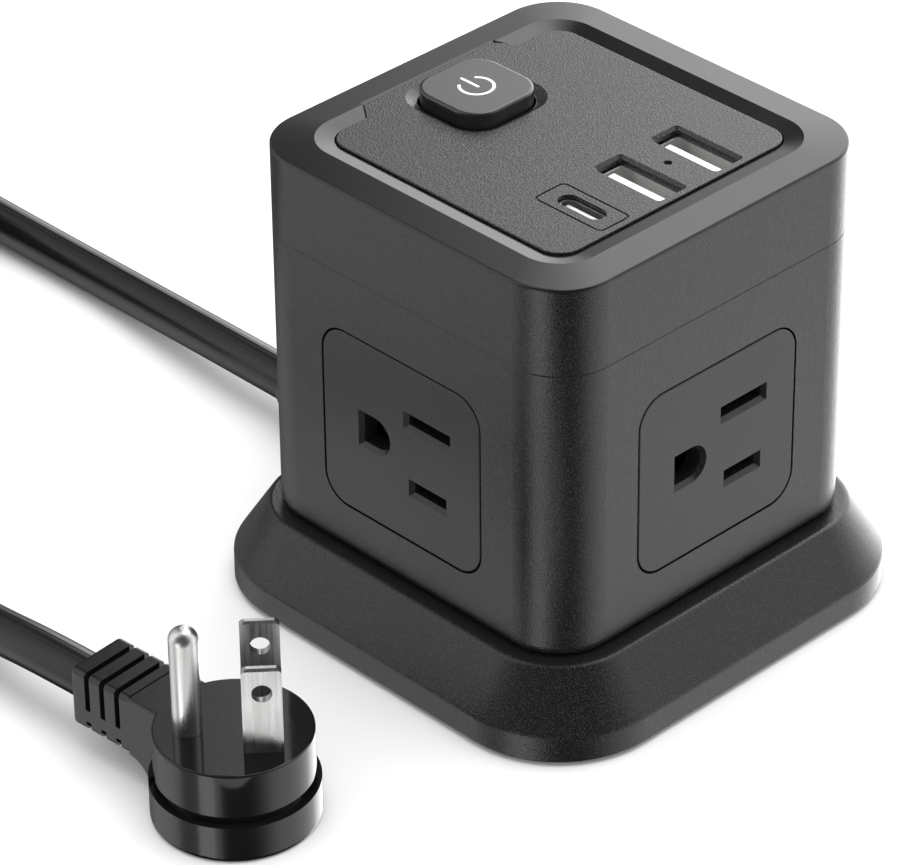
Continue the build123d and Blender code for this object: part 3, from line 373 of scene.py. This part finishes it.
NODE_FINISHES = {
    "housing_plastic": "base_skirt bottom_cover lower_housing upper_housing cord_strain_relief",
    "panel_plastic": "top_panel",
    "outlet_plastic": "outlet_face_front outlet_face_right outlet_face_back outlet_face_left",
    "inner_plastic": "contact_carrier",
    "button_plastic": "power_button",
    "switch_plastic": "switch_body switch_plunger",
    "plug_plastic": "plug_lower plug_upper plug_strain_relief",
    "rubber": "rubber_feet",
    "pin_nickel": "live_blade neutral_blade ground_pin",
    "brass": "live_bus ground_bus neutral_bus switch_terminals",
    "steel": "cover_screws base_screws housing_screws panel_screws board_screws button_spring",
    "port_steel": "usb_a_shell_rear usb_a_shell_front usb_c_shell usb_c_tongue",
    "port_white": "usb_a_tongue_rear usb_a_tongue_front",
    "board_green": "usb_board",
    "transformer": "usb_transformer",
    "capacitor": "filter_capacitors",
    "clear_acrylic": "led_light_pipe",
    "led_white": "status_led",
    "wire_black": "live_lead",
    "wire_white": "neutral_lead",
    "wire_green": "ground_lead",
    "wire_red": "switched_lead board_leads",
}

for finish, names in NODE_FINISHES.items():
    for name in names.split():
        nodes[name].data.materials.clear()
        nodes[name].data.materials.append(FINISHES[finish])


# ---------------------------------------------------------------- cord

CORD_RADIUS = 3.9
STRAND = 2 * CORD_RADIUS
PLUG_CENTRE = (10.6, -83.2)    # the middle of the plug's round body
PLUG_TURN = math.radians(4.0)
CORD_AT_PLUG_Z = 10.6


def plug_point(along, across=0.0, z=0.0):
    """A point in the plug's own frame, whose X runs from the cord to the pins, in millimetres."""
    cosine, sine = math.cos(PLUG_TURN), math.sin(PLUG_TURN)
    return (
        PLUG_CENTRE[0] + along * cosine - across * sine,
        PLUG_CENTRE[1] + along * sine + across * cosine,
        z,
    )


# From the strain relief on the base, along the floor, to the coil.
LEAD_ROUTE = [
    (-66, 0, 7.9), (-80, 0, 7.9), (-98, 1.6, 6.2), (-121, 3.7, 4.0), (-147, 3.6, 3.9),
    (-172, 3.7, 3.9),
]
# Off the top of the coil, over its outer turns, and along the floor to the plug.
TAIL_ROUTE = [
    (-174, -81.9, 19.9), (-153, -82.0, 20.8), (-131, -82.2, 13.6), (-110, -82.1, 5.6),
    (-92, -81.8, 3.9), (-76, -82.3, 3.95), (-60, -84.0, 5.2), (-44.5, -85.9, 8.6),
    plug_point(-42.5, z=CORD_AT_PLUG_Z), plug_point(-31, z=CORD_AT_PLUG_Z),
]

COIL_CENTRE = (-188.0, -43.2)
COIL_FLOOR = 1.0          # the tie passes under the coil
INNER_TURN, OUTER_TURN = 39.1, 46.9
LOW_LAYER = COIL_FLOOR + CORD_RADIUS
HIGH_LAYER = LOW_LAYER + STRAND
TOP_TURN, EXIT_TURN = 43.0, 38.7
TOP_LAYER, EXIT_LAYER = 19.5, 19.9
COIL_TURNS = 4.5
COIL_START = math.radians(90.0)
POINTS_PER_TURN = 18


def ease(value, start, end):
    """0 before start, 1 after end, smooth between them."""
    share = min(max((value - start) / (end - start), 0.0), 1.0)
    return share * share * (3 - 2 * share)


def coil_strand(turn):
    """Radius and height of the coiled cord after some number of turns.

    Two turns on the floor, outer then inner, two on top of them, inner then outer, and half a turn
    across the top to the way out.
    """
    radius = OUTER_TURN
    radius += (INNER_TURN - OUTER_TURN) * ease(turn, 0.84, 1.0)
    radius += (OUTER_TURN - INNER_TURN) * ease(turn, 2.66, 2.82)
    radius += (TOP_TURN - OUTER_TURN) * ease(turn, 3.72, 4.0)
    radius += (EXIT_TURN - TOP_TURN) * ease(turn, 4.1, COIL_TURNS)
    height = CORD_RADIUS
    height += (LOW_LAYER - CORD_RADIUS) * ease(turn, 0.0, 0.2)
    height += (HIGH_LAYER - LOW_LAYER) * ease(turn, 1.76, 1.92)
    height += (TOP_LAYER - HIGH_LAYER) * ease(turn, 3.7, 3.95)
    height += (EXIT_LAYER - TOP_LAYER) * ease(turn, 4.0, COIL_TURNS)
    return radius, height


def coil_points():
    """The coil's control points, a little outside the curve that they pull to the wanted radius."""
    swell = 2.0 / (1.0 + math.cos(math.pi / POINTS_PER_TURN))
    points = []
    for step in range(int(COIL_TURNS * POINTS_PER_TURN) + 1):
        turn = step / POINTS_PER_TURN
        radius, height = coil_strand(turn)
        angle = COIL_START + math.tau * turn
        points.append((
            COIL_CENTRE[0] + radius * swell * math.cos(angle),
            COIL_CENTRE[1] + radius * swell * math.sin(angle),
            height,
        ))
    return points


def build_cord():
    """One jacket from the base to the plug, in place of the three CAD lengths of cord."""
    curve = bpy.data.curves.new("mains_cord", "CURVE")
    curve.dimensions = "3D"
    curve.bevel_depth = CORD_RADIUS * MM
    curve.bevel_resolution = 7
    curve.resolution_u = 10
    curve.twist_mode = "Z_UP"
    curve.use_fill_caps = True
    route = LEAD_ROUTE + coil_points() + TAIL_ROUTE
    spline = curve.splines.new("NURBS")
    spline.points.add(len(route) - 1)
    for point, place in zip(spline.points, route):
        point.co = (*(value * MM for value in place), 1.0)
    spline.order_u = 3
    spline.use_endpoint_u = True
    curve.materials.append(FINISHES["cord_pvc"])
    cord = bpy.data.objects.new("mains_cord", curve)
    bpy.context.scene.collection.objects.link(cord)
    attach(cord, "strip")
    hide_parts("cord_lead", "cord_coil", "cord_tail")
    return cord


cord = build_cord()


# ---------------------------------------------------------------- mesh pieces

def mesh_object(name, bm, finish, body="strip", smooth=True):
    """Makes an object of a bmesh, gives it a material, and lets it ride on a body."""
    bmesh.ops.recalc_face_normals(bm, faces=bm.faces)
    mesh = bpy.data.meshes.new(name)
    bm.to_mesh(mesh)
    bm.free()
    for face in mesh.polygons:
        face.use_smooth = smooth
    mesh.materials.append(FINISHES[finish])
    piece = bpy.data.objects.new(name, mesh)
    bpy.context.scene.collection.objects.link(piece)
    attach(piece, body)
    return piece


def build_button_spring():
    """The switch's return spring, as its own piece because it shortens while the button goes down."""
    bm = bmesh.new()
    bm.from_mesh(nodes["button_spring"].data)
    spring = mesh_object("button_spring_coil", bm, "steel")
    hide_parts("button_spring")
    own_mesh(spring)


build_button_spring()


def convex_outline(points):
    """The convex hull of points in a plane, counter-clockwise."""
    points = sorted(set(points))

    def half(sequence):
        hull = []
        for p in sequence:
            while len(hull) > 1 and (
                (hull[-1][0] - hull[-2][0]) * (p[1] - hull[-2][1])
                - (hull[-1][1] - hull[-2][1]) * (p[0] - hull[-2][0])
            ) <= 0:
                hull.pop()
            hull.append(p)
        return hull[:-1]

    return half(points) + half(points[::-1])


TIE_WIDTH = 12.0
TIE_THICK = 0.85
TIE_GAP = 0.05
TIE_EDGE = 0.25         # worn off each edge of the tape
TIE_STEPS = 48          # sides of the circle that it follows round a strand
TIE_TURN = 4.25         # the coil's turn count where the top strand passes through


def build_tie():
    """A hook-and-loop tie pulled tight around the five strands on the coil's far side."""
    top_radius, top_height = coil_strand(TIE_TURN)
    strands = [
        (radius, height) for radius in (INNER_TURN, OUTER_TURN) for height in (LOW_LAYER, HIGH_LAYER)
    ] + [(top_radius, top_height)]

    def around(reach):
        return convex_outline([
            (
                round(COIL_CENTRE[0] - radius - reach * math.cos(math.tau * i / TIE_STEPS), 4),
                round(height + reach * math.sin(math.tau * i / TIE_STEPS), 4),
            )
            for radius, height in strands for i in range(TIE_STEPS)
        ])

    inner = around(CORD_RADIUS + TIE_GAP)
    outer = around(CORD_RADIUS + TIE_GAP + TIE_THICK)
    bm = bmesh.new()
    rings = []
    offset = TIE_WIDTH / 2 - TIE_EDGE
    for outline in (inner, outer):
        for side in (-1, 1):
            rings.append([
                bm.verts.new((x * MM, (COIL_CENTRE[1] + side * offset) * MM, z * MM)) for x, z in outline
            ])
    inner_low, inner_high, outer_low, outer_high = rings
    for low, high in ((inner_low, inner_high), (outer_low, outer_high)):
        for i in range(len(low)):
            j = (i + 1) % len(low)
            bm.faces.new((low[i], low[j], high[j], high[i]))
    for a, b in ((inner_low, outer_low), (inner_high, outer_high)):
        edges_a = [bm.edges.get((a[i], a[(i + 1) % len(a)])) for i in range(len(a))]
        edges_b = [bm.edges.get((b[i], b[(i + 1) % len(b)])) for i in range(len(b))]
        bmesh.ops.bridge_loops(bm, edges=edges_a + edges_b)
    piece = mesh_object("cord_tie_strap", bm, "tie_fabric")
    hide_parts("cord_tie")
    return piece


tie = build_tie()


SYMBOL_CENTRE = (-18.9, 0.0)
SYMBOL_RADIUS = 2.87
SYMBOL_LINE = 0.55
SYMBOL_GAP = math.radians(42.0)   # half the ring's opening, which faces -X
STEM_START, STEM_END = -3.5, 0.3
SYMBOL_PROUD = 0.03               # the thickness of the printed ink
SYMBOL_SUNK = 0.01                # how far the ink starts below the button's top
RING_STEPS = 40
CAP_STEPS = 8


def build_power_symbol():
    """The printed ring and stem on the button's top, as a thin layer of ink."""
    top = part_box("power_button")[1].z
    bm = bmesh.new()

    def layer(outline):
        base = [bm.verts.new((x * MM, y * MM, top - SYMBOL_SUNK * MM)) for x, y in outline]
        face = bm.faces.new(base)
        lifted = bmesh.ops.extrude_face_region(bm, geom=[face])["geom"]
        verts = [v for v in lifted if isinstance(v, bmesh.types.BMVert)]
        bmesh.ops.translate(bm, verts=verts, vec=(0, 0, (SYMBOL_PROUD + SYMBOL_SUNK) * MM))

    def at(radius, angle):
        return (SYMBOL_CENTRE[0] + radius * math.cos(angle), SYMBOL_CENTRE[1] + radius * math.sin(angle))

    half = SYMBOL_LINE / 2
    start = -math.pi + SYMBOL_GAP
    sweep = math.tau - 2 * SYMBOL_GAP
    angles = [start + sweep * i / RING_STEPS for i in range(RING_STEPS + 1)]

    def cap(angle, outward):
        """A round end on the ring's line."""
        x, y = at(SYMBOL_RADIUS, angle)
        return [
            (
                x + half * math.cos(angle + outward * math.pi * i / CAP_STEPS),
                y + half * math.sin(angle + outward * math.pi * i / CAP_STEPS),
            )
            for i in range(1, CAP_STEPS)
        ]

    def across(angle):
        """The ring's outer and inner edge at an angle."""
        return at(SYMBOL_RADIUS + half, angle), at(SYMBOL_RADIUS - half, angle)

    for this, following in zip(angles, angles[1:]):
        (outer, inner), (next_outer, next_inner) = across(this), across(following)
        layer([outer, next_outer, next_inner, inner])
    outer, inner = across(angles[-1])
    layer([outer] + cap(angles[-1], 1) + [inner])
    outer, inner = across(angles[0])
    layer([inner] + cap(angles[0], -1)[::-1] + [outer])
    x0, y0 = SYMBOL_CENTRE
    round_end = [math.pi / 2 * (1 - 2 * i / CAP_STEPS) for i in range(CAP_STEPS + 1)]
    layer(
        [(x0 + STEM_END + half * math.cos(a), y0 + half * math.sin(a)) for a in round_end]
        + [(x0 + STEM_START - half * math.cos(a), y0 - half * math.sin(a)) for a in round_end]
    )
    bmesh.ops.remove_doubles(bm, verts=bm.verts, dist=0.002 * MM)
    return mesh_object("power_symbol", bm, "port_white", body="button", smooth=False)


build_power_symbol()


# ---------------------------------------------------------------- studio

FLOOR_REACH = 8.0   # half the floor's side, in metres
ROOM_LIGHT = 1.0    # what the camera and matt surfaces see

# What glossy surfaces reflect, by compass direction: soft boxes with dark gaps between them.
# Each stop is an angle in degrees from +X towards +Y, and the radiance there.
LOW_BOXES = [
    (-180, 0.40), (-150, 0.85), (-136, 1.0), (-124, 0.8), (-112, 0.42), (-100, 0.5), (-94, 1.1),
    (-88, 1.95), (-76, 2.1), (-70, 1.4), (-63, 0.75), (-57, 0.2), (-51, 0.05), (-22, 0.04),
    (-12, 0.18), (-3, 0.45), (6, 0.8), (22, 1.22), (46, 1.32), (80, 1.9), (104, 3.1),
    (120, 2.6), (130, 0.7), (138, 0.15), (155, 0.15), (180, 0.40),
]
HIGH_BOXES = [
    (-180, 0.5), (-150, 0.9), (-136, 1.15), (-126, 1.15), (-112, 0.5), (-98, 0.16),
    (-60, 0.08), (0, 0.10), (18, 0.45), (34, 0.92), (46, 1.0), (70, 1.9), (104, 3.0),
    (126, 3.0), (131, 2.6), (134, 1.8), (136, 1.35), (139, 0.95), (141, 0.55), (143, 0.10),
    (152, 0.06), (162, 0.3), (180, 0.5),
]
RING_BLEND = (-0.25, 0.10)     # sines of elevation where the low ring gives way to the high one
GROUND_FADE = (-0.82, -0.66)   # nothing shines up from straight below


class World:
    """The studio's background, and short calls for its nodes."""

    def __init__(self):
        self.world = bpy.data.worlds.new("studio")
        self.world.use_nodes = True
        self.tree = self.world.node_tree
        self.background = self.tree.nodes["Background"]

    def maths(self, operation, *inputs):
        node = self.tree.nodes.new("ShaderNodeMath")
        node.operation = operation
        for socket, value in zip(node.inputs, inputs):
            join(self.tree, socket, value)
        return node.outputs[0]

    def rise(self, value, start, end):
        """0 below start, 1 above end, smooth between them."""
        node = self.tree.nodes.new("ShaderNodeMapRange")
        node.interpolation_type = "SMOOTHSTEP"
        for socket, entry in (("Value", value), ("From Min", start), ("From Max", end)):
            join(self.tree, node.inputs[socket], entry)
        return node.outputs["Result"]

    def ring(self, compass, boxes):
        """Radiance by compass direction, from a list of stops."""
        share = self.maths("MULTIPLY_ADD", compass, 1 / math.tau, 0.5)
        node = self.tree.nodes.new("ShaderNodeFloatCurve")
        join(self.tree, node.inputs["Value"], share)
        brightest = max(value for _, value in boxes)
        curve = node.mapping.curves[0]
        while len(curve.points) < len(boxes):
            curve.points.new(0.5, 0.5)
        for point, (angle, value) in zip(curve.points, boxes):
            point.location = ((angle + 180) / 360, value / brightest)
        node.mapping.update()
        return self.maths("MULTIPLY", node.outputs["Value"], brightest)

    def mix(self, factor, first, second):
        """first where factor is 0, and second where it is 1."""
        rest = self.maths("SUBTRACT", 1.0, factor)
        shares = self.maths("MULTIPLY", rest, first), self.maths("MULTIPLY", factor, second)
        return self.maths("ADD", *shares)


def build_world():
    """White everywhere for the eye and for soft light, and two rings of soft boxes for reflections."""
    studio = World()
    direction = studio.tree.nodes.new("ShaderNodeTexCoord").outputs["Generated"]
    split = studio.tree.nodes.new("ShaderNodeSeparateXYZ")
    join(studio.tree, split.inputs[0], direction)
    compass = studio.maths("ARCTAN2", split.outputs["Y"], split.outputs["X"])
    height = split.outputs["Z"]
    boxes = studio.mix(
        studio.rise(height, *RING_BLEND),
        studio.ring(compass, LOW_BOXES),
        studio.ring(compass, HIGH_BOXES),
    )
    boxes = studio.maths("MULTIPLY", boxes, studio.rise(height, *GROUND_FADE))
    rays = studio.tree.nodes.new("ShaderNodeLightPath")
    strength = studio.mix(rays.outputs["Is Glossy Ray"], ROOM_LIGHT, boxes)
    studio.background.inputs["Color"].default_value = (1, 1, 1, 1)
    join(studio.tree, studio.background.inputs["Strength"], strength)
    bpy.context.scene.world = studio.world


def build_floor():
    """A seamless white sheet. Glossy rays pass through it, because gloss comes from the soft boxes."""
    bm = bmesh.new()
    bmesh.ops.create_grid(bm, x_segments=1, y_segments=1, size=FLOOR_REACH)
    mesh = bpy.data.meshes.new("floor")
    bm.to_mesh(mesh)
    bm.free()
    shader = Shader("floor_paper", Roughness=0.9, Specular_IOR_Level=0.0)
    shader.set("Base Color", grey(0.93))
    mesh.materials.append(shader.material)
    floor = bpy.data.objects.new("floor", mesh)
    bpy.context.scene.collection.objects.link(floor)
    floor.visible_glossy = False


FILL_CARD_DISTANCE = 45.0   # from the pins, towards the open corner in front of the plug
FILL_CARD_SIZE = (28.0, 110.0)
FILL_CARD_LIFT = 0.5
FILL_CARD_LIGHT = 1.15
PINS_OFFSET = 3.0           # the pins' middle from the plug's centre, along X and along Y


def build_fill_card():
    """A small white card on the floor in front of the plug, seen only as a reflection in its pins."""
    bm = bmesh.new()
    bmesh.ops.create_grid(bm, x_segments=1, y_segments=1, size=0.5)
    mesh = bpy.data.meshes.new("fill_card")
    bmesh.ops.scale(bm, verts=bm.verts, vec=(FILL_CARD_SIZE[0] * MM, FILL_CARD_SIZE[1] * MM, 1.0))
    bm.to_mesh(mesh)
    bm.free()
    shader = Shader("card_paper", Emission_Strength=FILL_CARD_LIGHT)
    shader.set("Emission Color", grey(1.0))
    shader.set("Base Color", grey(0.0))
    mesh.materials.append(shader.material)
    card = bpy.data.objects.new("fill_card", mesh)
    heading = math.radians(CAMERA_AZIMUTH - 90.0)
    card.location = (
        (PLUG_CENTRE[0] + PINS_OFFSET + FILL_CARD_DISTANCE * math.cos(heading)) * MM,
        (PLUG_CENTRE[1] + PINS_OFFSET + FILL_CARD_DISTANCE * math.sin(heading)) * MM,
        FILL_CARD_LIFT * MM,
    )
    card.rotation_euler = (0.0, 0.0, heading)
    bpy.context.scene.collection.objects.link(card)
    card.visible_camera = card.visible_diffuse = card.visible_shadow = card.visible_transmission = False


LAMP_PLACE = Vector((0.15, 0.25, 1.4))
LAMP_AIM = Vector((0.0, 0.0, 0.03))
LAMP_SIZE = 1.4
LAMP_POWER = 15.0


def build_lamp():
    """A large square light overhead and a little behind, seen only by matt surfaces."""
    data = bpy.data.lights.new("overhead", "AREA")
    data.shape = "SQUARE"
    data.size = LAMP_SIZE
    data.energy = LAMP_POWER
    light = bpy.data.objects.new("overhead", data)
    light.location = LAMP_PLACE
    light.rotation_euler = (LAMP_AIM - LAMP_PLACE).to_track_quat("-Z", "Y").to_euler()
    light.visible_glossy = False
    bpy.context.scene.collection.objects.link(light)


build_world()
build_floor()
build_lamp()
build_fill_card()

bpy.context.scene.view_settings.view_transform = "Standard"
